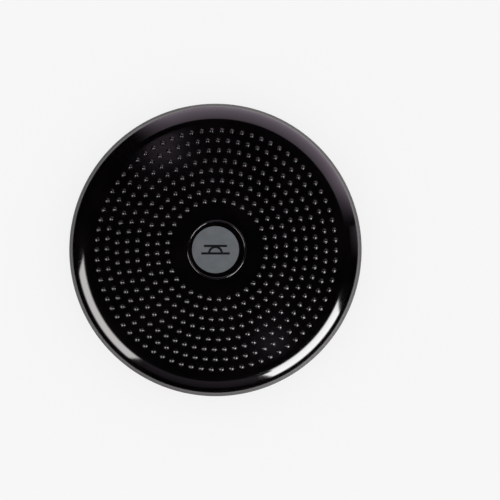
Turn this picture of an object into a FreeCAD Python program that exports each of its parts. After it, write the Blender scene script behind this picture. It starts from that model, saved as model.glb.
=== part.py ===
import FreeCAD
import Part

import math
import os

import Sketcher
from FreeCAD import Vector

# Inflatable wobble cushion: a flat, air-filled PVC disc that a person stands or sits on.
# Two moulded half skins meet at a welded seam round the equator. The upper half carries
# rings of small massage nubs round a printed badge. The lower half carries wide-spaced
# grip studs, a foot pad and a self-sealing needle valve.
#
# Frame: millimetres, +Z up, origin on the floor at the middle of the disc.
# The cushion rocks about two level axes that cross at the middle of the equator.

SHEET = "Dimensions"

DIMENSIONS = {
    # the disc as a whole
    "disc_diameter": 330.0,
    "equator_height": 29.2,
    "rim_radius": 25.0,
    "skin_wall": 3.0,
    # the welded seam between the halves
    "seam_height": 3.0,
    "seam_proud": 0.4,
    "seam_depth": 4.6,
    "seam_rounding": 0.6,
    # top: part of a large sphere that runs smoothly into the rim, and would reach the top
    # height on the axis, but for a level plateau under the badge
    "top_height": 59.4,
    "plateau_radius": 34.0,
    "bead_ring_radius": 32.1,
    "bead_radius": 0.9,
    # the printed badge, which sits slightly off the middle, and its emblem: a bar that
    # balances on a half ring over a ground line
    "badge_radius": 26.3,
    "badge_offset": -1.3,
    "badge_thickness": 0.3,
    "emblem_thickness": 0.15,
    "emblem_stroke": 2.4,
    "emblem_arch_radius": 8.4,
    "emblem_foot_drop": 4.2,
    "emblem_bar_length": 26.0,
    "emblem_ground_length": 32.0,
    # massage nubs: every ring holds six more than the ring inside it, and the rings are
    # set out in bands of three, with every other band turned by half a pitch
    "nub_rings": 8.0,
    "nub_radius": 2.8,
    "nub_sink": 0.2,
    "nub_first_radius": 55.4,
    "nub_ring_step": 11.22,
    "nub_first_count": 32.0,
    "nub_count_step": 6.0,
    "nub_direction": 126.4,
    # underside: the same, with a level zone round the foot pad
    "bottom_height": 0.2,
    "underside_radius": 74.0,
    "foot_radius": 26.0,
    # grip studs: every ring holds four more than the ring inside it
    "stud_rings": 5.0,
    "stud_sink": 1.0,
    "stud_tip_radius": 3.8,
    "stud_base_radius": 4.8,
    "stud_first_radius": 44.0,
    "stud_ring_step": 20.0,
    "stud_first_count": 10.0,
    "stud_count_step": 4.0,
    # needle valve, between two studs of the outer ring
    "valve_distance": 124.0,
    "valve_direction": -90.0,
    "boss_radius": 8.0,
    "boss_bottom": 2.2,
    "boss_height": 7.0,
    "seat_radius": 5.0,
    "seat_bore_radius": 3.4,
    "seat_height": 16.0,
    "seat_flange_radius": 7.6,
    "seat_flange_thickness": 1.6,
    "core_recess": 0.8,
    "core_collar_radius": 5.0,
    "core_collar_thickness": 1.6,
    "guide_radius": 1.15,
    "guide_depth": 7.0,
}

NUB_RINGS_PER_BAND = 3

# Places on a sketch's edge, and a sketch's own origin and upright axis.
START = 1
END = 2
CENTRE = 3
ORIGIN = (-1, 1)
UPRIGHT_AXIS = -2


def cell(name):
    """The expression that reads one driving dimension."""
    return f"{SHEET}.{name}"


# Lengths that follow from the driving dimensions, as expressions.
SKIN_RADIUS = f"({cell('disc_diameter')} / 2 - {cell('seam_proud')})"
RIM_CENTRE = f"({SKIN_RADIUS} - {cell('rim_radius')})"
HALF_SEAM = f"({cell('seam_height')} / 2)"
TOP_RISE = f"({cell('top_height')} - {cell('equator_height')})"
BOTTOM_FALL = f"({cell('equator_height')} - {cell('bottom_height')})"
VALVE_X = f"({cell('valve_distance')} * cos({cell('valve_direction')} * 1 deg))"
VALVE_Y = f"({cell('valve_distance')} * sin({cell('valve_direction')} * 1 deg))"


def crown_radius(rise):
    """Radius of the sphere that rises this far over the equator and runs into the rim."""
    rim = cell("rim_radius")
    return f"(({rise} ^ 2 + {RIM_CENTRE} ^ 2 - {rim} ^ 2) / (2 * ({rise} - {rim})))"


def crown_drop(rise, distance):
    """How far the sphere has left its level at the axis, at a distance from the axis."""
    crown = crown_radius(rise)
    return f"({crown} - sqrt({crown} ^ 2 - {distance} ^ 2))"


PLATEAU_HEIGHT = f"({cell('top_height')} - {crown_drop(TOP_RISE, cell('plateau_radius'))})"
UNDERSIDE_LIFT = crown_drop(BOTTOM_FALL, cell("underside_radius"))
UNDERSIDE_HEIGHT = f"({cell('bottom_height')} + {UNDERSIDE_LIFT})"


def make_sheet(doc):
    sheet = doc.addObject("Spreadsheet::Sheet", SHEET)
    for row, (name, value) in enumerate(DIMENSIONS.items(), start=1):
        sheet.set(f"A{row}", name)
        sheet.set(f"B{row}", str(value))
        sheet.setAlias(f"B{row}", name)
    doc.recompute()


def number(expression):
    """What an expression comes to now, which a sketch's first outline is drawn with."""
    sheet = FreeCAD.ActiveDocument.getObject(SHEET)
    return float(sheet.evalExpression(expression))


def new_body(doc, name):
    body = doc.addObject("PartDesign::Body", name)
    body.Label = name
    return body


def origin_feature(body, role):
    return next(item for item in body.Origin.OriginFeatures if item.Role == role)


def new_sketch(body, name, role):
    sketch = body.newObject("Sketcher::SketchObject", name)
    sketch.AttachmentSupport = [(origin_feature(body, role), "")]
    sketch.MapMode = "FlatFace"
    return sketch


class Outline:
    """A closed outline in a sketch, drawn edge by edge, each edge joined to the last."""

    def __init__(self, sketch, start):
        self.sketch = sketch
        self.pen = Vector(*start, 0)
        self.edges = []

    def line_to(self, end, smooth=False):
        """Draw a straight edge, and return its number."""
        end = Vector(*end, 0)
        edge = self.sketch.addGeometry(Part.LineSegment(self.pen, end), False)
        return self._join(edge, START, END, end, smooth)

    def arc_to(self, end, centre, smooth=False):
        """Draw an arc the short way round its centre, and return its number."""
        end = Vector(*end, 0)
        middle = Vector(*centre, 0)
        first = self._direction(self.pen, middle)
        last = self._direction(end, middle)
        turns_left = (last - first) % (2 * math.pi) < math.pi
        angles = (first, last) if turns_left else (last, first)
        places = (START, END) if turns_left else (END, START)
        circle = Part.Circle(middle, Vector(0, 0, 1), (end - middle).Length)
        edge = self.sketch.addGeometry(Part.ArcOfCircle(circle, *angles), False)
        return self._join(edge, *places, end, smooth)

    def close(self):
        """Join the last edge's end to the first edge's start."""
        last_edge, _, last_place = self.edges[-1]
        first_edge, first_place, _ = self.edges[0]
        constrain(self.sketch, "Coincident", last_edge, last_place, first_edge, first_place)

    @staticmethod
    def _direction(point, middle):
        return math.atan2(point.y - middle.y, point.x - middle.x)

    def _join(self, edge, start_place, end_place, end, smooth):
        if self.edges:
            kind = "Tangent" if smooth else "Coincident"
            last_edge, _, last_place = self.edges[-1]
            constrain(self.sketch, kind, last_edge, last_place, edge, start_place)
        self.edges.append((edge, start_place, end_place))
        self.pen = end
        return edge


def constrain(sketch, kind, *places):
    sketch.addConstraint(Sketcher.Constraint(kind, *places))


def size(sketch, name, kind, places, expression):
    """Add a named driving size to a sketch, and bind it to the sheet."""
    index = sketch.addConstraint(Sketcher.Constraint(kind, *places, number(expression)))
    sketch.renameConstraint(index, name)
    sketch.setExpression(f"Constraints.{name}", expression)


def revolve(body, sketch):
    turned = body.newObject("PartDesign::Revolution", f"{sketch.Name}_turned")
    turned.Profile = sketch
    turned.ReferenceAxis = (sketch, ["V_Axis"])
    turned.Angle = 360
    sketch.Visibility = False
    return turned


def primitive(body, kind, name, sizes, place):
    """Add or cut a PartDesign primitive whose sizes and place are bound to the sheet."""
    feature = body.newObject(f"PartDesign::{kind}", name)
    feature.AttachmentSupport = [(origin_feature(body, "XY_Plane"), "")]
    feature.MapMode = "FlatFace"
    for key, expression in sizes.items():
        feature.setExpression(key, expression)
    for key, expression in place.items():
        feature.setExpression(f".AttachmentOffset.Base.{key}", expression)
    feature.Refine = False
    return feature


def pattern_round_axis(body, feature, count):
    pattern = body.newObject("PartDesign::PolarPattern", f"{feature.Name}_ring")
    pattern.Originals = [feature]
    pattern.Axis = (origin_feature(body, "Z_Axis"), [""])
    pattern.Angle = 360
    pattern.setExpression("Occurrences", count)
    pattern.Refine = False
    body.Tip = pattern


def ring_of(kind, ring):
    """A ring's distance from the axis and its count, as expressions."""
    distance = f"({cell(f'{kind}_first_radius')} + {ring} * {cell(f'{kind}_ring_step')})"
    count = f"({cell(f'{kind}_first_count')} + {ring} * {cell(f'{kind}_count_step')})"
    return distance, count


def add_skin_shell(body, side, flat_radius, flat_height, rise):
    """Turn one half skin: side is 1 for the upper half and -1 for the lower half."""
    wall = number(cell("skin_wall"))
    half_seam = number(HALF_SEAM)
    rim_radius = number(cell("rim_radius"))
    rim = (number(RIM_CENTRE), number(cell("equator_height")))
    crown = number(crown_radius(rise))
    crown_centre = (0, rim[1] + side * (number(rise) - crown))
    # the crown meets the rim on the line through both centres
    slope = math.atan2(rim[1] - crown_centre[1], rim[0])
    level = number(flat_height)

    def flat_end(radius, height):
        return (math.sqrt(radius ** 2 - (height - crown_centre[1]) ** 2), height)

    def crown_end(radius):
        return (radius * math.cos(slope), crown_centre[1] + radius * math.sin(slope))

    def cut_end(radius):
        return (rim[0] + math.sqrt(radius ** 2 - half_seam ** 2), rim[1] + side * half_seam)

    sketch = new_sketch(body, "shell_profile", "YZ_Plane")
    outline = Outline(sketch, (0, level))
    outer_flat = outline.line_to(flat_end(crown, level))
    outer_crown = outline.arc_to(crown_end(crown), crown_centre)
    outer_rim = outline.arc_to(cut_end(rim_radius), rim, smooth=True)
    edge = outline.line_to(cut_end(rim_radius - wall))
    inner_rim = outline.arc_to(crown_end(crown - wall), rim)
    inner_crown = outline.arc_to(flat_end(crown - wall, level - side * wall), crown_centre, smooth=True)
    inner_flat = outline.line_to((0, level - side * wall))
    axis_line = outline.line_to((0, level))
    outline.close()

    for flat in (outer_flat, edge, inner_flat):
        constrain(sketch, "Horizontal", flat)
    constrain(sketch, "PointOnObject", outer_flat, START, UPRIGHT_AXIS)
    constrain(sketch, "PointOnObject", outer_crown, CENTRE, UPRIGHT_AXIS)
    constrain(sketch, "Vertical", axis_line)
    constrain(sketch, "Coincident", inner_rim, CENTRE, outer_rim, CENTRE)
    constrain(sketch, "Coincident", inner_crown, CENTRE, outer_crown, CENTRE)
    seam_span = (outer_rim, CENTRE, edge, START) if side > 0 else (edge, START, outer_rim, CENTRE)
    size(sketch, "flat_radius", "Distance", (outer_flat,), flat_radius)
    size(sketch, "rim_centre", "DistanceX", (*ORIGIN, outer_rim, CENTRE), RIM_CENTRE)
    size(sketch, "rim_height", "DistanceY", (*ORIGIN, outer_rim, CENTRE), cell("equator_height"))
    size(sketch, "rim_radius", "Radius", (outer_rim,), cell("rim_radius"))
    size(sketch, "crown_radius", "Radius", (outer_crown,), crown_radius(rise))
    size(sketch, "wall", "Distance", (axis_line,), cell("skin_wall"))
    inner_radius = f"{cell('rim_radius')} - {cell('skin_wall')}"
    size(sketch, "inner_rim_radius", "Radius", (inner_rim,), inner_radius)
    size(sketch, "half_seam", "DistanceY", seam_span, HALF_SEAM)
    revolve(body, sketch)


def make_upper_skin(doc):
    body = new_body(doc, "upper_skin")
    add_skin_shell(body, 1, cell("plateau_radius"), PLATEAU_HEIGHT, TOP_RISE)
    bead_sizes = {"Radius1": cell("bead_ring_radius"), "Radius2": cell("bead_radius")}
    primitive(body, "AdditiveTorus", "bead", bead_sizes, {"z": PLATEAU_HEIGHT})
    for ring in range(int(DIMENSIONS["nub_rings"])):
        add_nub_ring(body, ring)


def add_nub_ring(body, ring):
    distance, count = ring_of("nub", ring)
    half_pitches = ring // NUB_RINGS_PER_BAND % 2
    direction = f"(({cell('nub_direction')} + {half_pitches} * 180 / {count}) * 1 deg)"
    place = {
        "x": f"{distance} * cos({direction})",
        "y": f"{distance} * sin({direction})",
        "z": f"{cell('top_height')} - {crown_drop(TOP_RISE, distance)} - {cell('nub_sink')}",
    }
    nub = primitive(body, "AdditiveSphere", f"nub_{ring + 1}", {"Radius": cell("nub_radius")}, place)
    pattern_round_axis(body, nub, count)


def make_lower_skin(doc):
    body = new_body(doc, "lower_skin")
    add_skin_shell(body, -1, cell("underside_radius"), UNDERSIDE_HEIGHT, BOTTOM_FALL)
    through_skin = f"{UNDERSIDE_HEIGHT} + {cell('stud_sink')}"
    foot_sizes = {"Radius": cell("foot_radius"), "Height": through_skin}
    primitive(body, "AdditiveCylinder", "foot_pad", foot_sizes, {})
    for ring in range(int(DIMENSIONS["stud_rings"])):
        add_stud_ring(body, ring, through_skin)
    valve_place = {"x": VALVE_X, "y": VALVE_Y, "z": cell("boss_bottom")}
    boss_sizes = {"Radius": cell("boss_radius"), "Height": cell("boss_height")}
    primitive(body, "AdditiveCylinder", "valve_boss", boss_sizes, valve_place)
    hole_sizes = {"Radius": cell("seat_radius"), "Height": cell("boss_height")}
    primitive(body, "SubtractiveCylinder", "valve_hole", hole_sizes, valve_place)


def add_stud_ring(body, ring, height):
    """The studs' tips stand on the floor in the level zone, and rise with the skin past it."""
    distance, count = ring_of("stud", ring)
    # every other ring, the outer one among them, straddles the valve's direction
    half_pitches = 1 - ring % 2
    direction = f"(({cell('valve_direction')} + {half_pitches} * 180 / {count}) * 1 deg)"
    sizes = {
        "Radius1": cell("stud_tip_radius"),
        "Radius2": cell("stud_base_radius"),
        "Height": height,
    }
    place = {
        "x": f"{distance} * cos({direction})",
        "y": f"{distance} * sin({direction})",
        "z": f"max(0; {crown_drop(BOTTOM_FALL, distance)} - {UNDERSIDE_LIFT})",
    }
    stud = primitive(body, "AdditiveCone", f"stud_{ring + 1}", sizes, place)
    pattern_round_axis(body, stud, count)


def make_rim_seam(doc):
    body = new_body(doc, "rim_seam")
    half = number(HALF_SEAM)
    middle = number(cell("equator_height"))
    outer = number(cell("disc_diameter")) / 2
    inner = outer - number(cell("seam_depth"))
    rounding = number(cell("seam_rounding"))
    low, high = middle - half, middle + half

    sketch = new_sketch(body, "seam_profile", "XZ_Plane")
    outline = Outline(sketch, (inner, low))
    floor = outline.line_to((outer - rounding, low))
    low_arc = outline.arc_to((outer, low + rounding), (outer - rounding, low + rounding), smooth=True)
    face = outline.line_to((outer, high - rounding), smooth=True)
    outline.arc_to((outer - rounding, high), (outer - rounding, high - rounding), smooth=True)
    ceiling = outline.line_to((inner, high), smooth=True)
    back = outline.line_to((inner, low))
    outline.close()

    for level in (floor, ceiling):
        constrain(sketch, "Horizontal", level)
    for upright in (face, back):
        constrain(sketch, "Vertical", upright)
    high_arc = ceiling - 1
    constrain(sketch, "Equal", low_arc, high_arc)
    bottom = f"{cell('equator_height')} - {HALF_SEAM}"
    inner_radius = f"{cell('disc_diameter')} / 2 - {cell('seam_depth')}"
    size(sketch, "inner_radius", "DistanceX", (*ORIGIN, back, START), inner_radius)
    size(sketch, "outer_radius", "DistanceX", (*ORIGIN, face, START), f"{cell('disc_diameter')} / 2")
    size(sketch, "bottom", "DistanceY", (*ORIGIN, floor, START), bottom)
    size(sketch, "height", "DistanceY", (back, END, back, START), cell("seam_height"))
    size(sketch, "rounding", "Radius", (low_arc,), cell("seam_rounding"))
    revolve(body, sketch)


def place_body(body, x="0", y="0", z="0"):
    for key, expression in (("x", x), ("y", y), ("z", z)):
        body.setExpression(f"Placement.Base.{key}", expression)


def make_centre_badge(doc):
    body = new_body(doc, "centre_badge")
    disc = {"Radius": cell("badge_radius"), "Height": cell("badge_thickness")}
    primitive(body, "AdditiveCylinder", "disc", disc, {})
    place_body(body, x=cell("badge_offset"), z=PLATEAU_HEIGHT)


def make_badge_emblem(doc):
    """A bar that balances on a half ring, which stands on a ground line."""
    body = new_body(doc, "badge_emblem")
    thickness = cell("emblem_thickness")
    stroke = cell("emblem_stroke")
    arch_radius = cell("emblem_arch_radius")
    foot = f"(-{cell('emblem_foot_drop')})"
    arch = {"Radius": arch_radius, "Angle": "180 deg", "Height": thickness}
    gap = {"Radius": f"{arch_radius} - {stroke}", "Height": thickness}
    primitive(body, "AdditiveCylinder", "arch", arch, {"y": foot})
    primitive(body, "SubtractiveCylinder", "arch_gap", gap, {"y": foot})
    add_emblem_line(body, "ground", cell("emblem_ground_length"), f"{foot} - {stroke} / 2")
    add_emblem_line(body, "bar", cell("emblem_bar_length"), f"{foot} + {arch_radius} - {stroke} / 2")
    place_body(body, x=cell("badge_offset"), z=f"{PLATEAU_HEIGHT} + {cell('badge_thickness')}")


def add_emblem_line(body, name, length, low_edge):
    sizes = {"Length": length, "Width": cell("emblem_stroke"), "Height": cell("emblem_thickness")}
    primitive(body, "AdditiveBox", name, sizes, {"x": f"-{length} / 2", "y": low_edge})


def make_valve_seat(doc):
    """The valve's tube, welded into the boss by its inner flange."""
    body = new_body(doc, "valve_seat")
    tube = {"Radius": cell("seat_radius"), "Height": cell("seat_height")}
    flange = {"Radius": cell("seat_flange_radius"), "Height": cell("seat_flange_thickness")}
    bore = {"Radius": cell("seat_bore_radius"), "Height": cell("seat_height")}
    primitive(body, "AdditiveCylinder", "tube", tube, {})
    primitive(body, "AdditiveCylinder", "flange", flange, {"z": cell("boss_height")})
    primitive(body, "SubtractiveCylinder", "bore", bore, {})
    place_body(body, VALVE_X, VALVE_Y, cell("boss_bottom"))


def make_valve_core(doc):
    """The rubber plug, held by its collar, with the blind hole that guides the needle."""
    body = new_body(doc, "valve_core")
    recess = cell("core_recess")
    stem = {"Radius": cell("seat_bore_radius"), "Height": f"{cell('seat_height')} - {recess}"}
    collar = {"Radius": cell("core_collar_radius"), "Height": cell("core_collar_thickness")}
    guide = {"Radius": cell("guide_radius"), "Height": cell("guide_depth")}
    primitive(body, "AdditiveCylinder", "stem", stem, {"z": recess})
    primitive(body, "AdditiveCylinder", "collar", collar, {"z": cell("seat_height")})
    primitive(body, "SubtractiveCylinder", "guide", guide, {"z": recess})
    place_body(body, VALVE_X, VALVE_Y, cell("boss_bottom"))


SUB_PARTS = (
    make_lower_skin,
    make_valve_seat,
    make_valve_core,
    make_rim_seam,
    make_upper_skin,
    make_centre_badge,
    make_badge_emblem,
)


def check(doc, bodies):
    for item in doc.Objects:
        if "Invalid" in item.State or "Error" in item.State:
            raise RuntimeError(f"{item.Label} did not compute: {item.State}")
    for sketch in doc.findObjects("Sketcher::SketchObject"):
        if not sketch.FullyConstrained:
            raise RuntimeError(f"{sketch.Label} in {sketch.getParentGeoFeatureGroup().Label} is loose")
    for body in bodies:
        if body.Shape.isNull() or not body.Shape.isValid():
            raise RuntimeError(f"{body.Label} has no sound shape")
        if len(body.Shape.Solids) != 1:
            raise RuntimeError(f"{body.Label} is not one solid")


def write(bodies):
    os.makedirs("parts", exist_ok=True)
    for body in bodies:
        body.Shape.exportStep(f"parts/{body.Label}.step")
        box = body.Shape.BoundBox
        spans = f"{box.XLength:.2f} x {box.YLength:.2f} x {box.ZLength:.2f}"
        print(f"{body.Label}: {spans} mm, from z {box.ZMin:.2f}, {body.Shape.Volume / 1000:.2f} cm3")


def main():
    doc = FreeCAD.newDocument("wobble_cushion")
    make_sheet(doc)
    for make in SUB_PARTS:
        make(doc)
    doc.recompute()
    bodies = doc.findObjects("PartDesign::Body")
    check(doc, bodies)
    write(bodies)
    print("ok")


main()
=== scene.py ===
import math

import bmesh
import bpy
from mathutils import Matrix, Vector


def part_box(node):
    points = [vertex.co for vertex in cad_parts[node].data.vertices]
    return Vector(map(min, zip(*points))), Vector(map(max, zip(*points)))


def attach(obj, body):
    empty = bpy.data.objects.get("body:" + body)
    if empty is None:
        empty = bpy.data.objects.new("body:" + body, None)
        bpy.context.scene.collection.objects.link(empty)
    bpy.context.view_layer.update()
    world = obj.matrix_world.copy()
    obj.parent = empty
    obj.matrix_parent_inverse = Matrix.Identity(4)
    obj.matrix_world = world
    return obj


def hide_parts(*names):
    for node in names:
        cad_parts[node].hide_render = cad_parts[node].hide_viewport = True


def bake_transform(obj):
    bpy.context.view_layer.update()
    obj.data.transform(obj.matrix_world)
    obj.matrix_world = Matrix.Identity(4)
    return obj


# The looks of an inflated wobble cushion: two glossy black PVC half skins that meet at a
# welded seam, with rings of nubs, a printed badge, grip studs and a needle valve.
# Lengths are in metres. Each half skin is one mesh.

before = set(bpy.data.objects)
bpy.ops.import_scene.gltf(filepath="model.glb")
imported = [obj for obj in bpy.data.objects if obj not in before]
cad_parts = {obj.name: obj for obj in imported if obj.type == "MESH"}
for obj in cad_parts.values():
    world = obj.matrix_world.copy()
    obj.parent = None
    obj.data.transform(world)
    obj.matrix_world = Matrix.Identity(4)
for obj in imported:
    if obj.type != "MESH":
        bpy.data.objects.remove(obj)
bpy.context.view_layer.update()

MM = 0.001

# Places taken from the frame.
SEAM_LOW, SEAM_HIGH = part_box("rim_seam")
BADGE_LOW, BADGE_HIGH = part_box("centre_badge")
SEAT_LOW, SEAT_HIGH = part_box("valve_seat")
SKIN_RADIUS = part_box("upper_skin")[1].x
SEAM_RADIUS = SEAM_HIGH.x
EQUATOR = (SEAM_LOW.z + SEAM_HIGH.z) / 2
PLATEAU = BADGE_LOW.z
VALVE = (SEAT_LOW + SEAT_HIGH) / 2

# Sizes of the moulded skins.
RIM_RADIUS = 25 * MM
RIM_CENTRE = SKIN_RADIUS - RIM_RADIUS
WALL = 3 * MM
TOP_HEIGHT = 59.4 * MM
BOTTOM_HEIGHT = 0.2 * MM
PLATEAU_RADIUS = 34 * MM
UNDERSIDE_RADIUS = 74 * MM
BEAD_RING_RADIUS = 32.1 * MM
BEAD_RADIUS = 0.9 * MM
BEAD_FILLET = 0.3 * MM
FOOT_RADIUS = 26 * MM

# Rings of nubs on top, from the inside out: each holds six more than the last, and every
# other band of three rings is turned by half a pitch.
NUB_RINGS = 8
NUB_RINGS_PER_BAND = 3
NUBS_IN_FIRST_RING = 32
NUBS_ADDED_PER_RING = 6
NUB_FIRST_RADIUS = 55.4 * MM
NUB_RING_STEP = 11.22 * MM
NUB_DIRECTION = math.radians(126.4)
NUB_HEIGHT = 2.6 * MM
NUB_TIP_RADIUS = 0.5 * MM
NUB_TIP_ROUNDING = 1.5 * MM
NUB_SHOULDER_RADIUS = 1.8 * MM
NUB_SHOULDER_HEIGHT = 1.73 * MM
NUB_SHOULDER_ROUNDING = 1.6 * MM
NUB_BASE_RADIUS = 2.6 * MM
NUB_FILLET = 0.3 * MM
NUB_ROOT = 0.8 * MM

# Rings of grip studs underneath, from the inside out: each holds four more than the last.
STUD_RINGS = 5
STUDS_IN_FIRST_RING = 10
STUDS_ADDED_PER_RING = 4
STUD_FIRST_RADIUS = 44 * MM
STUD_RING_STEP = 20 * MM
STUD_TIP_RADIUS = 3.8 * MM
STUD_BASE_RADIUS = 4.4 * MM
STUD_ROUNDING = 0.45 * MM
STUD_ROOT = 0.8 * MM

# The boss round the valve's hole.
BOSS_RADIUS = 8 * MM
BOSS_TOP = 9.2 * MM
HOLE_RADIUS = 5 * MM

# How finely the shapes are divided, and how close two points count as one.
ROUND_SEGMENTS = 360
VALVE_SEGMENTS = 96
NUB_SEGMENTS = 28
STUD_SEGMENTS = 28
CROWN_STEPS = 40
RIM_STEPS = 48
INSIDE_RIM_STEPS = 16
INSIDE_CROWN_STEPS = 6
BEAD_STEPS = 10
ON_AXIS = 1e-9
WELD_DISTANCE = 0.0001 * MM
CORNER_ANGLE = math.radians(40)


def crown_radius(rise):
    """Radius of the sphere that rises this far over the equator and runs into the rim."""
    return (rise ** 2 + RIM_CENTRE ** 2 - RIM_RADIUS ** 2) / (2 * (rise - RIM_RADIUS))


def crown_drop(radius, distance):
    """How far a sphere has left its level at the axis, at a distance from the axis."""
    return radius - math.sqrt(radius ** 2 - distance ** 2)


def crown_lean(radius, distance):
    """How far a sphere's outward direction leans from the axis, at a distance from it."""
    return math.asin(distance / radius)


TOP_CROWN = crown_radius(TOP_HEIGHT - EQUATOR)
BOTTOM_CROWN = crown_radius(EQUATOR - BOTTOM_HEIGHT)
UNDERSIDE = BOTTOM_HEIGHT + crown_drop(BOTTOM_CROWN, UNDERSIDE_RADIUS)


# Outlines: lists of (distance from the axis, height).

def arc(centre, radius, first, last, steps):
    """Points on an arc from one angle to another, in radians."""
    points = []
    for step in range(steps + 1):
        angle = first + (last - first) * step / steps
        x = centre[0] + radius * math.cos(angle)
        z = centre[1] + radius * math.sin(angle)
        points.append((x, z))
    return points


def rounded(corners, steps=5):
    """An outline through corners (x, z, radius), each but the two ends rounded by its radius."""
    points = []
    for number, (x, z, radius) in enumerate(corners):
        if radius == 0 or number in (0, len(corners) - 1):
            points.append((x, z))
            continue
        here = Vector((x, z))
        before = (Vector(corners[number - 1][:2]) - here).normalized()
        after = (Vector(corners[number + 1][:2]) - here).normalized()
        half_turn = before.angle(after) / 2
        centre = here + (before + after).normalized() * radius / math.sin(half_turn)
        reach = radius / math.tan(half_turn)
        first = here + before * reach - centre
        last = here + after * reach - centre
        for step in range(steps + 1):
            spoke = first.slerp(last, step / steps).normalized()
            points.append(tuple(centre + spoke * radius))
    return points


def filleted_dome(radius, sink, fillet, steps):
    """A dome whose centre is sunk below the skin, from its top to where its fillet ends."""
    reach = math.sqrt((radius + fillet) ** 2 - (sink + fillet) ** 2)
    slope = math.atan2(sink + fillet, reach)
    dome = arc((0, -sink), radius, math.pi / 2, slope, steps)
    foot = arc((reach, fillet), fillet, math.pi + slope, math.pi * 1.5, steps // 2)
    return dome + foot[1:]


def shell_outline(side, flat_outline, crown, apex, cut_height):
    """A half skin's wall: the flat, the crown and the rim, then back along the inside.

    The side is 1 for the upper skin and -1 for the lower one, and the cut is at the seam.
    """
    crown_centre = (0, apex - side * crown)
    flat_radius, flat_height = flat_outline[-1]
    meeting = math.atan2(EQUATOR - crown_centre[1], RIM_CENTRE)
    start = math.atan2(flat_height - crown_centre[1], flat_radius)
    half_seam = abs(cut_height - EQUATOR)

    def cut_angle(radius):
        return side * math.asin(half_seam / radius)

    rim = (RIM_CENTRE, EQUATOR)
    inner_rim = RIM_RADIUS - WALL
    outside = flat_outline + arc(crown_centre, crown, start, meeting, CROWN_STEPS)[1:]
    outside += arc(rim, RIM_RADIUS, meeting, cut_angle(RIM_RADIUS), RIM_STEPS)[1:]
    inside = arc(rim, inner_rim, cut_angle(inner_rim), meeting, INSIDE_RIM_STEPS)
    inside += arc(crown_centre, crown - WALL, meeting, start, INSIDE_CROWN_STEPS)[1:]
    return outside + inside + [(0, flat_height - side * WALL)]


def upper_outline():
    """The flat has a bead, and a point at the badge's edge that keeps its shading level."""
    dome = filleted_dome(BEAD_RADIUS, 0, BEAD_FILLET, BEAD_STEPS)
    bead = [(BEAD_RING_RADIUS - x, PLATEAU + z) for x, z in reversed(dome)]
    bead += [(BEAD_RING_RADIUS + x, PLATEAU + z) for x, z in dome[1:]]
    flat = [(0, PLATEAU), (BADGE_HIGH.x, PLATEAU)] + bead + [(PLATEAU_RADIUS, PLATEAU)]
    return shell_outline(1, flat, TOP_CROWN, TOP_HEIGHT, SEAM_HIGH.z)


def lower_outline():
    """The foot pad has two shallow grip grooves and a rounded edge."""
    groove_depth = 0.35 * MM
    groove_width = 1.4 * MM
    groove_radii = (0.45 * FOOT_RADIUS, 0.72 * FOOT_RADIUS)
    slant = 0.3 * MM
    rounding = 0.15 * MM
    corners = [(0, 0, 0)]
    for radius in groove_radii:
        corners += [
            (radius - slant, 0, rounding),
            (radius, groove_depth, rounding),
            (radius + groove_width, groove_depth, rounding),
            (radius + groove_width + slant, 0, rounding),
        ]
    corners += [
        (FOOT_RADIUS - slant, 0, 2 * slant),
        (FOOT_RADIUS, UNDERSIDE, 2 * slant),
        (UNDERSIDE_RADIUS, UNDERSIDE, 0),
    ]
    return shell_outline(-1, rounded(corners), BOTTOM_CROWN, BOTTOM_HEIGHT, SEAM_LOW.z)


def stud_outline():
    """A flat-tipped stud, as (distance from its own axis, height over the skin)."""
    corners = [
        (0, UNDERSIDE, 0),
        (STUD_TIP_RADIUS, UNDERSIDE, STUD_ROUNDING),
        (STUD_BASE_RADIUS, 0, STUD_ROUNDING),
        (STUD_BASE_RADIUS + 2 * STUD_ROUNDING, 0, 0),
        (STUD_BASE_RADIUS, -STUD_ROOT, 0),
        (0, -STUD_ROOT, 0),
    ]
    return rounded(corners)


def nub_outline():
    """A blunt cone with a rounded tip and steeper sides below its shoulder."""
    corners = [
        (0, NUB_HEIGHT, 0),
        (NUB_TIP_RADIUS, NUB_HEIGHT, NUB_TIP_ROUNDING),
        (NUB_SHOULDER_RADIUS, NUB_SHOULDER_HEIGHT, NUB_SHOULDER_ROUNDING),
        (NUB_BASE_RADIUS, 0, NUB_FILLET),
        (NUB_BASE_RADIUS + 2 * NUB_FILLET, 0, 0),
        (NUB_BASE_RADIUS, -NUB_ROOT, 0),
        (0, -NUB_ROOT, 0),
    ]
    return rounded(corners)


# Meshes.

def turn(outline, segments):
    """Vertices and faces of an outline turned about the upright axis."""
    points = []
    faces = []
    rings = []
    for distance, height in outline:
        if abs(distance) < ON_AXIS:
            rings.append([len(points)] * segments)
            points.append(Vector((0, 0, height)))
            continue
        rings.append(list(range(len(points), len(points) + segments)))
        for segment in range(segments):
            angle = 2 * math.pi * segment / segments
            x = distance * math.cos(angle)
            y = distance * math.sin(angle)
            points.append(Vector((x, y, height)))
    for inner, outer in zip(rings, rings[1:]):
        for segment in range(segments):
            following = (segment + 1) % segments
            face = (inner[segment], outer[segment], outer[following], inner[following])
            faces.append(tuple(dict.fromkeys(face)))
    return points, faces


def closed_turn(outline, segments):
    """The same, for an outline that is a ring's section and doesn't reach the axis."""
    return turn(outline + outline[:1], segments)


def merge(shapes):
    """One list of vertices and one of faces, from several shapes, each with its matrix."""
    all_points = []
    all_faces = []
    for (points, faces), matrix in shapes:
        first = len(all_points)
        all_points += [matrix @ point for point in points]
        all_faces += [tuple(first + corner for corner in face) for face in faces]
    return all_points, all_faces


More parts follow.
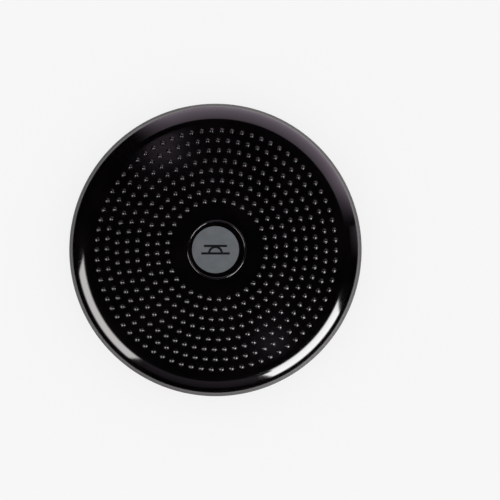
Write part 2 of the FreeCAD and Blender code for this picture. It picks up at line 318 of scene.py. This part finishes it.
def make_piece(name, shape, material):
    """A piece from closed shapes: doubles welded, faces outwards, smooth but for corners."""
    mesh = bpy.data.meshes.new(name)
    mesh.from_pydata(shape[0], [], shape[1])
    cleaned = bmesh.new()
    cleaned.from_mesh(mesh)
    bmesh.ops.remove_doubles(cleaned, verts=cleaned.verts, dist=WELD_DISTANCE)
    bmesh.ops.recalc_face_normals(cleaned, faces=cleaned.faces)
    cleaned.to_mesh(mesh)
    cleaned.free()
    mesh.shade_smooth()
    mesh.set_sharp_from_angle(angle=CORNER_ANGLE)
    mesh.materials.append(material)
    piece = bpy.data.objects.new(name, mesh)
    bpy.context.collection.objects.link(piece)
    return piece


def with_hole(shape, cutter_shape, material):
    """A shape with another cut out of it."""
    piece = make_piece("uncut", shape, material)
    cutter = make_piece("cutter", cutter_shape, material)
    cut = piece.modifiers.new("hole", "BOOLEAN")
    cut.object = cutter
    cut.operation = "DIFFERENCE"
    cut.solver = "EXACT"
    graph = bpy.context.evaluated_depsgraph_get()
    mesh = bpy.data.meshes.new_from_object(piece.evaluated_get(graph))
    points = [vertex.co.copy() for vertex in mesh.vertices]
    faces = [tuple(face.vertices) for face in mesh.polygons]
    bpy.data.objects.remove(piece)
    bpy.data.objects.remove(cutter)
    bpy.data.meshes.remove(mesh)
    return points, faces


def seats_on_ring(distance, count, direction, height, lean, side):
    """A matrix for each place on a ring, standing up on side 1 and down on side -1."""
    flip = Matrix.Diagonal((1, 1, side, 1))
    for number in range(count):
        angle = direction + 2 * math.pi * number / count
        x = distance * math.cos(angle)
        y = distance * math.sin(angle)
        outwards = Matrix.Rotation(angle, 4, "Z") @ Matrix.Rotation(lean, 4, "Y")
        yield Matrix.Translation((x, y, height)) @ flip @ outwards


def nub_seats():
    """The nubs stand square on the crown."""
    for ring in range(NUB_RINGS):
        distance = NUB_FIRST_RADIUS + ring * NUB_RING_STEP
        count = NUBS_IN_FIRST_RING + ring * NUBS_ADDED_PER_RING
        turned = ring // NUB_RINGS_PER_BAND % 2
        direction = NUB_DIRECTION + turned * math.pi / count
        height = TOP_HEIGHT - crown_drop(TOP_CROWN, distance)
        lean = crown_lean(TOP_CROWN, distance)
        yield from seats_on_ring(distance, count, direction, height, lean, 1)


def stud_seats():
    """Studs on the flat stand straight down. The valve is between two of the outer ring."""
    valve_direction = math.atan2(VALVE.y, VALVE.x)
    for ring in range(STUD_RINGS):
        distance = STUD_FIRST_RADIUS + ring * STUD_RING_STEP
        count = STUDS_IN_FIRST_RING + ring * STUDS_ADDED_PER_RING
        turned = 1 - ring % 2
        direction = valve_direction + turned * math.pi / count
        on_flat = distance < UNDERSIDE_RADIUS
        height = BOTTOM_HEIGHT + crown_drop(BOTTOM_CROWN, max(distance, UNDERSIDE_RADIUS))
        lean = 0 if on_flat else crown_lean(BOTTOM_CROWN, distance)
        yield from seats_on_ring(distance, count, direction, height, lean, -1)


def make_upper_skin(material):
    """The wall with its bead, and the nubs, whose roots are inside the wall."""
    nub = turn(nub_outline(), NUB_SEGMENTS)
    shapes = [(turn(upper_outline(), ROUND_SEGMENTS), Matrix())]
    shapes += [(nub, seat) for seat in nub_seats()]
    piece = make_piece("upper_bladder", merge(shapes), material)
    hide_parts("upper_skin")
    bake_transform(piece)


def valve_boss():
    """The boss, a ring from the valve's mouth to inside the skin."""
    rounding = 0.5 * MM
    corners = [
        (HOLE_RADIUS, SEAT_LOW.z, 0),
        (BOSS_RADIUS, SEAT_LOW.z, rounding),
        (BOSS_RADIUS, BOSS_TOP, 0),
        (HOLE_RADIUS, BOSS_TOP, 0),
    ]
    return closed_turn(rounded(corners), VALVE_SEGMENTS)


def valve_hole():
    """What the valve's hole takes out of the skin's wall."""
    height = 2 * BOSS_TOP
    corners = [(0, 0), (HOLE_RADIUS, 0), (HOLE_RADIUS, height), (0, height)]
    return turn(corners, VALVE_SEGMENTS)


def make_lower_skin(material):
    """The wall with the valve's hole, the studs, and the boss."""
    at_valve = Matrix.Translation((VALVE.x, VALVE.y, 0))
    hole = merge([(valve_hole(), at_valve)])
    stud = turn(stud_outline(), STUD_SEGMENTS)
    wall = turn(lower_outline(), ROUND_SEGMENTS)
    shapes = [(with_hole(wall, hole, material), Matrix())]
    shapes += [(stud, seat) for seat in stud_seats()]
    shapes.append((valve_boss(), at_valve))
    piece = make_piece("lower_bladder", merge(shapes), material)
    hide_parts("lower_skin")
    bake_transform(piece)


def make_seam(material):
    """The weld: a low band with rounded edges and a fine ridge of flash along its middle."""
    depth = 4 * MM
    rounding = 0.6 * MM
    ridge = 0.25 * MM
    face = SEAM_RADIUS - ridge
    corners = [
        (SEAM_RADIUS - depth, SEAM_LOW.z, 0),
        (face, SEAM_LOW.z, rounding),
        (face, EQUATOR - 2 * ridge, ridge),
        (SEAM_RADIUS, EQUATOR - ridge, ridge / 2),
        (SEAM_RADIUS, EQUATOR + ridge, ridge / 2),
        (face, EQUATOR + 2 * ridge, ridge),
        (face, SEAM_HIGH.z, rounding),
        (SEAM_RADIUS - depth, SEAM_HIGH.z, 0),
    ]
    piece = make_piece("weld_seam", closed_turn(rounded(corners, 3), ROUND_SEGMENTS), material)
    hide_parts("rim_seam")
    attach(piece, "waist")


# Materials.

class Surface:
    """A material's node tree, with short ways to add the patterns that it uses."""

    def __init__(self, name, **values):
        self.material = bpy.data.materials.new(name)
        self.material.use_nodes = True
        self.tree = self.material.node_tree
        self.shader = self.tree.nodes["Principled BSDF"]
        for socket, value in values.items():
            self.shader.inputs[socket.replace("_", " ")].default_value = value
        self.place = self.tree.nodes.new("ShaderNodeTexCoord").outputs["Object"]

    def link(self, output, node, socket):
        self.tree.links.new(output, node.inputs[socket])

    def noise(self, grain, detail=2.0, place=None):
        """Soft noise whose patches are about this many metres across."""
        node = self.tree.nodes.new("ShaderNodeTexNoise")
        node.inputs["Scale"].default_value = 1 / grain
        node.inputs["Detail"].default_value = detail
        self.link(place or self.place, node, "Vector")
        return node.outputs["Fac"]

    def scratches(self, grain, stretch, direction=0.6):
        """Noise drawn out along one direction, this many times as long as it is wide."""
        mapping = self.tree.nodes.new("ShaderNodeMapping")
        mapping.inputs["Rotation"].default_value = (0, 0, direction)
        mapping.inputs["Scale"].default_value = (1 / stretch, 1, 1)
        self.link(self.place, mapping, "Vector")
        return self.noise(grain, detail=4.0, place=mapping.outputs["Vector"])

    def spread(self, source, low, high, start=0.3, end=0.7):
        """Turn a pattern's middle range into numbers from low to high."""
        node = self.tree.nodes.new("ShaderNodeMapRange")
        node.inputs["From Min"].default_value = start
        node.inputs["From Max"].default_value = end
        node.inputs["To Min"].default_value = low
        node.inputs["To Max"].default_value = high
        self.link(source, node, "Value")
        return node.outputs["Result"]

    def add(self, first, second):
        """The sum of two patterns."""
        node = self.tree.nodes.new("ShaderNodeMath")
        node.operation = "ADD"
        self.link(first, node, 0)
        self.link(second, node, 1)
        return node.outputs["Value"]

    def at_a_glance(self, most, start=0.44, end=0.7):
        """Extra roughness where the surface is seen edge on, which spreads its glare."""
        weight = self.tree.nodes.new("ShaderNodeLayerWeight")
        weight.inputs["Blend"].default_value = 0.5
        return self.spread(weight.outputs["Facing"], 0.0, most, start, end)

    def colour(self, source, low, high, start=0.3, end=0.7):
        """Turn a pattern's middle range into a base colour between two colours."""
        node = self.tree.nodes.new("ShaderNodeValToRGB")
        first, last = node.color_ramp.elements
        first.position = start
        first.color = (*low, 1)
        last.position = end
        last.color = (*high, 1)
        self.link(source, node, "Fac")
        self.link(node.outputs["Color"], self.shader, "Base Color")

    def roughness(self, source):
        self.link(source, self.shader, "Roughness")

    def bump(self, layers):
        """Raise the surface by (pattern, height in metres) layers."""
        normal = None
        for source, height in layers:
            node = self.tree.nodes.new("ShaderNodeBump")
            node.inputs["Distance"].default_value = height
            self.link(source, node, "Height")
            if normal:
                self.link(normal, node, "Normal")
            normal = node.outputs["Normal"]
        self.link(normal, self.shader, "Normal")


def glossy_pvc():
    """Moulded black PVC: a deep gloss with a faint orange peel and light handling marks.

    It mirrors more than real PVC does, and the soft boxes are dimmer to match, so that
    what is seen face on and what is seen at a glance differ less.
    """
    surface = Surface("glossy_black_pvc", IOR=2.0)
    surface.colour(surface.noise(40 * MM), (0.0013, 0.0009, 0.0011), (0.0027, 0.0019, 0.0023))
    handling = surface.spread(surface.noise(55 * MM, detail=4), 0.0, 0.03)
    scratches = surface.scratches(3 * MM, stretch=14)
    scuffs = surface.spread(scratches, 0.085, 0.115, start=0.45, end=0.75)
    marks = surface.add(handling, scuffs)
    surface.roughness(surface.add(marks, surface.at_a_glance(0.6)))
    peel = surface.noise(1.6 * MM)
    waves = surface.noise(24 * MM, detail=1)
    surface.bump([(peel, 0.0015 * MM), (waves, 0.05 * MM)])
    return surface.material


def seam_pvc():
    """The welded band: the same PVC, a little duller where it was squeezed."""
    surface = Surface("welded_black_pvc", IOR=1.5)
    surface.colour(surface.noise(12 * MM), (0.0022, 0.0018, 0.0021), (0.0042, 0.0034, 0.0040))
    surface.roughness(surface.spread(surface.noise(3 * MM, detail=3), 0.24, 0.36))
    surface.bump([(surface.noise(2.2 * MM), 0.02 * MM)])
    return surface.material


def badge_print():
    """Grey screen print on the skin, slightly uneven."""
    surface = Surface("grey_print", IOR=1.45)
    patches = surface.noise(9 * MM, detail=3)
    surface.colour(patches, (0.111, 0.120, 0.131), (0.131, 0.141, 0.153))
    toothed = surface.spread(surface.noise(1.5 * MM), 0.34, 0.46)
    surface.roughness(surface.add(toothed, surface.at_a_glance(0.4)))
    surface.bump([(surface.noise(0.5 * MM), 0.004 * MM)])
    return surface.material


def emblem_ink():
    """The emblem's dark ink, on the grey print."""
    surface = Surface("dark_ink", IOR=1.45)
    patches = surface.noise(3 * MM, detail=3)
    surface.colour(patches, (0.004, 0.005, 0.007), (0.008, 0.009, 0.012))
    toothed = surface.spread(surface.noise(1 * MM), 0.3, 0.42)
    surface.roughness(surface.add(toothed, surface.at_a_glance(0.4)))
    return surface.material


def valve_rubber():
    """The valve core's matt rubber."""
    surface = Surface("valve_rubber", IOR=1.5)
    patches = surface.noise(2 * MM, detail=3)
    surface.colour(patches, (0.018, 0.018, 0.018), (0.032, 0.031, 0.030))
    surface.roughness(surface.spread(surface.noise(0.8 * MM), 0.62, 0.78))
    surface.bump([(surface.noise(0.3 * MM), 0.01 * MM)])
    return surface.material


def dress_node(name, material):
    """Give a CAD node that stays a finished material."""
    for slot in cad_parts[name].material_slots:
        slot.material = material


# The studio.

class Glow:
    """A material that gives off light, from one strength at a sheet's foot to one at its top."""

    def __init__(self, name, colour, foot, top):
        self.material = bpy.data.materials.new(name)
        self.material.use_nodes = True
        self.tree = self.material.node_tree
        self.tree.nodes.clear()
        emission = self.tree.nodes.new("ShaderNodeEmission")
        emission.inputs["Color"].default_value = (*colour, 1)
        output = self.tree.nodes.new("ShaderNodeOutputMaterial")
        self.tree.links.new(emission.outputs["Emission"], output.inputs["Surface"])
        self.strength = emission.inputs["Strength"]
        self.light = self.ramp("up", (0, foot), (1, top))
        self.tree.links.new(self.light, self.strength)

    def ramp(self, measure, start, end, kind="LINEAR"):
        """Go from one (place, value) to another along a measure of the sheet."""
        place = self.tree.nodes.new("ShaderNodeAttribute")
        place.attribute_name = measure
        node = self.tree.nodes.new("ShaderNodeMapRange")
        node.interpolation_type = kind
        names = ("From Min", "To Min", "From Max", "To Max")
        for name, value in zip(names, (*start, *end)):
            node.inputs[name].default_value = value
        self.tree.links.new(place.outputs["Fac"], node.inputs["Value"])
        return node.outputs["Result"]

    def soften(self, measure, part):
        """Fade out at both ends of a measure of the sheet, each over this part of it."""
        for end, inside in ((0, part), (1, 1 - part)):
            fade = self.ramp(measure, (end, 0), (inside, 1), "SMOOTHSTEP")
            faded = self.tree.nodes.new("ShaderNodeMath")
            faded.operation = "MULTIPLY"
            self.tree.links.new(self.light, faded.inputs[0])
            self.tree.links.new(fade, faded.inputs[1])
            self.light = faded.outputs["Value"]
        self.tree.links.new(self.light, self.strength)


def stage_sheet(name, foot, top, material):
    """A sheet of the studio between two rows of points, with how far up and along it is."""
    columns = len(foot)
    faces = [(n, n + 1, columns + n + 1, columns + n) for n in range(columns - 1)]
    mesh = bpy.data.meshes.new(name)
    mesh.from_pydata(foot + top, [], faces)
    up = mesh.attributes.new("up", "FLOAT", "POINT")
    along = mesh.attributes.new("along", "FLOAT", "POINT")
    for row in (0, 1):
        for column in range(columns):
            up.data[row * columns + column].value = row
            along.data[row * columns + column].value = column / (columns - 1)
    mesh.materials.append(material)
    sheet = bpy.data.objects.new(name, mesh)
    bpy.context.collection.objects.link(sheet)
    return sheet


def level_square(x, y, height, half):
    """The two rows of points of a level square."""
    foot = [(x - half, y - half, height), (x + half, y - half, height)]
    top = [(x - half, y + half, height), (x + half, y + half, height)]
    return foot, top


def curved_row(radius, height, first, last, centre=(0, 0)):
    """Points on a level arc, from one azimuth to another in degrees."""
    columns = 64
    row = []
    for column in range(columns + 1):
        angle = math.radians(first + (last - first) * column / columns)
        x = centre[0] + radius * math.cos(angle)
        y = centre[1] + radius * math.sin(angle)
        row.append((x, y, height))
    return row


def pale_table():
    """A backlit pale table that leaves only a faint shadow, and is clear from underneath."""
    half = 20
    grey = 0.14
    backlight = 0.80
    material = bpy.data.materials.new("pale_table")
    material.use_nodes = True
    tree = material.node_tree
    shader = tree.nodes["Principled BSDF"]
    shader.inputs["Base Color"].default_value = (grey, grey, grey, 1)
    shader.inputs["Roughness"].default_value = 1.0
    shader.inputs["Specular IOR Level"].default_value = 0.0
    shader.inputs["Emission Color"].default_value = (1, 1, 1, 1)
    shader.inputs["Emission Strength"].default_value = backlight
    side = tree.nodes.new("ShaderNodeNewGeometry")
    clear = tree.nodes.new("ShaderNodeBsdfTransparent")
    either = tree.nodes.new("ShaderNodeMixShader")
    tree.links.new(side.outputs["Backfacing"], either.inputs["Fac"])
    tree.links.new(shader.outputs["BSDF"], either.inputs[1])
    tree.links.new(clear.outputs["BSDF"], either.inputs[2])
    output = tree.nodes["Material Output"]
    tree.links.new(either.outputs["Shader"], output.inputs["Surface"])
    table = stage_sheet("pale_table", *level_square(0, 0, 0, half), material)
    table.visible_glossy = False


def gloss_light(name, foot, top, colour, strengths, soft_along=0.0, soft_up=0.0):
    """A lit sheet that only the gloss picks up."""
    glow = Glow(name, colour, *strengths)
    if soft_along:
        glow.soften("along", soft_along)
    if soft_up:
        glow.soften("up", soft_up)
    sheet = stage_sheet(name, foot, top, glow.material)
    sheet.visible_camera = False
    sheet.visible_diffuse = False
    sheet.visible_shadow = False


def lit_table():
    """The lit part of the table: a band round the cushion, wider on one side."""
    height = -1 * MM
    inner_radius = 0.14
    outer_radius = 0.24
    outer_centre = (0.022, 0.004)
    strength = 1.4
    inner = curved_row(inner_radius, height, 0, 360)
    outer = curved_row(outer_radius, height, 0, 360, outer_centre)
    gloss_light("lit_table", inner, outer, (1.0, 0.97, 0.97), (strength, strength))


def underlight():
    """A wide, uneven glow far under the table, for the underside."""
    height = -1.1
    half = 2.2
    strengths = (0.2, 2.0)
    foot, top = level_square(0, 0, height, half)
    gloss_light("underlight", foot, top, (1, 1, 1), strengths, soft_along=0.4)


def ambient_light():
    """Even light from all round for the matt surfaces, which the gloss doesn't mirror."""
    strength = 0.93
    world = bpy.data.worlds.new("studio")
    bpy.context.scene.world = world
    world.use_nodes = True
    background = world.node_tree.nodes["Background"]
    background.inputs["Color"].default_value = (1, 1, 1, 1)
    background.inputs["Strength"].default_value = strength
    world.cycles_visibility.glossy = False


def panel(name, foot, top, colour, strengths, soft_along, soft_up=0.0):
    """A curved soft box beside the cushion.

    Its lower and upper edges are each (radius, height, azimuth of one end, of the other).
    """
    rows = (curved_row(*foot), curved_row(*top))
    gloss_light(name, *rows, colour, strengths, soft_along, soft_up)


def overhead(name, x, y, half, colour, strength):
    """A dim square far above, which leaves a faint sheen on the top."""
    height = 3.5
    rows = level_square(x, y, height, half)
    gloss_light(name, *rows, colour, (strength, strength))


def studio_lights():
    """The soft boxes and walls that show in the gloss of the rim, the nubs and the top."""
    white = (1, 1, 1)
    warm = (1.0, 0.97, 0.96)
    violet = (1.0, 0.82, 1.0)
    panel(
        "key",
        foot=(0.42, 0.058, 295, 334),
        top=(0.33, 0.289, 289, 340),
        colour=white,
        strengths=(8.4, 7.2),
        soft_along=0.03,
        soft_up=0.22,
    )
    panel(
        "fill",
        foot=(0.42, 0.049, 190, 232),
        top=(0.33, 0.274, 180, 237.5),
        colour=warm,
        strengths=(4.0, 4.6),
        soft_along=0.03,
        soft_up=0.28,
    )
    panel(
        "back_wall",
        foot=(0.45, -0.09, 10, 126),
        top=(0.33, 0.289, 10, 126),
        colour=violet,
        strengths=(1.05, 0.38),
        soft_along=0.18,
    )
    panel(
        "side_wall",
        foot=(0.45, -0.09, -5, 25),
        top=(0.38, 0.188, -5, 25),
        colour=violet,
        strengths=(0.18, 0.04),
        soft_along=0.4,
    )
    panel(
        "front_wall",
        foot=(0.42, 0.097, 232, 296),
        top=(0.33, 0.271, 232, 296),
        colour=violet,
        strengths=(0.04, 0.11),
        soft_along=0.2,
    )
    overhead("sheen_far", x=-0.20, y=0.68, half=0.10, colour=violet, strength=0.20)
    overhead("sheen_near", x=0.47, y=-0.55, half=0.08, colour=violet, strength=0.12)


def camera_overhead():
    """Nearly straight down, with the cushion left of the frame's middle."""
    target = Vector((0.0387, -0.0001, EQUATOR))
    place = Vector((-0.139, -0.033, 4.0))
    frame_width = 0.5643
    sensor = 36.0
    camera = bpy.data.cameras.new("camera")
    camera.sensor_width = sensor
    camera.lens = sensor * (place - target).length / frame_width
    camera.clip_end = 100
    view = bpy.data.objects.new("camera", camera)
    back = (place - target).normalized()
    right = Vector((0, 1, 0)).cross(back).normalized()
    up = back.cross(right)
    view.matrix_world = Matrix((right, up, back)).transposed().to_4x4()
    view.location = place
    bpy.context.collection.objects.link(view)
    bpy.context.scene.camera = view


def main():
    bpy.context.scene.view_settings.view_transform = "Standard"
    camera_overhead()
    pvc = glossy_pvc()
    make_upper_skin(pvc)
    make_lower_skin(pvc)
    make_seam(seam_pvc())
    dress_node("centre_badge", badge_print())
    dress_node("badge_emblem", emblem_ink())
    dress_node("valve_seat", seam_pvc())
    dress_node("valve_core", valve_rubber())
    pale_table()
    lit_table()
    underlight()
    ambient_light()
    studio_lights()


main()
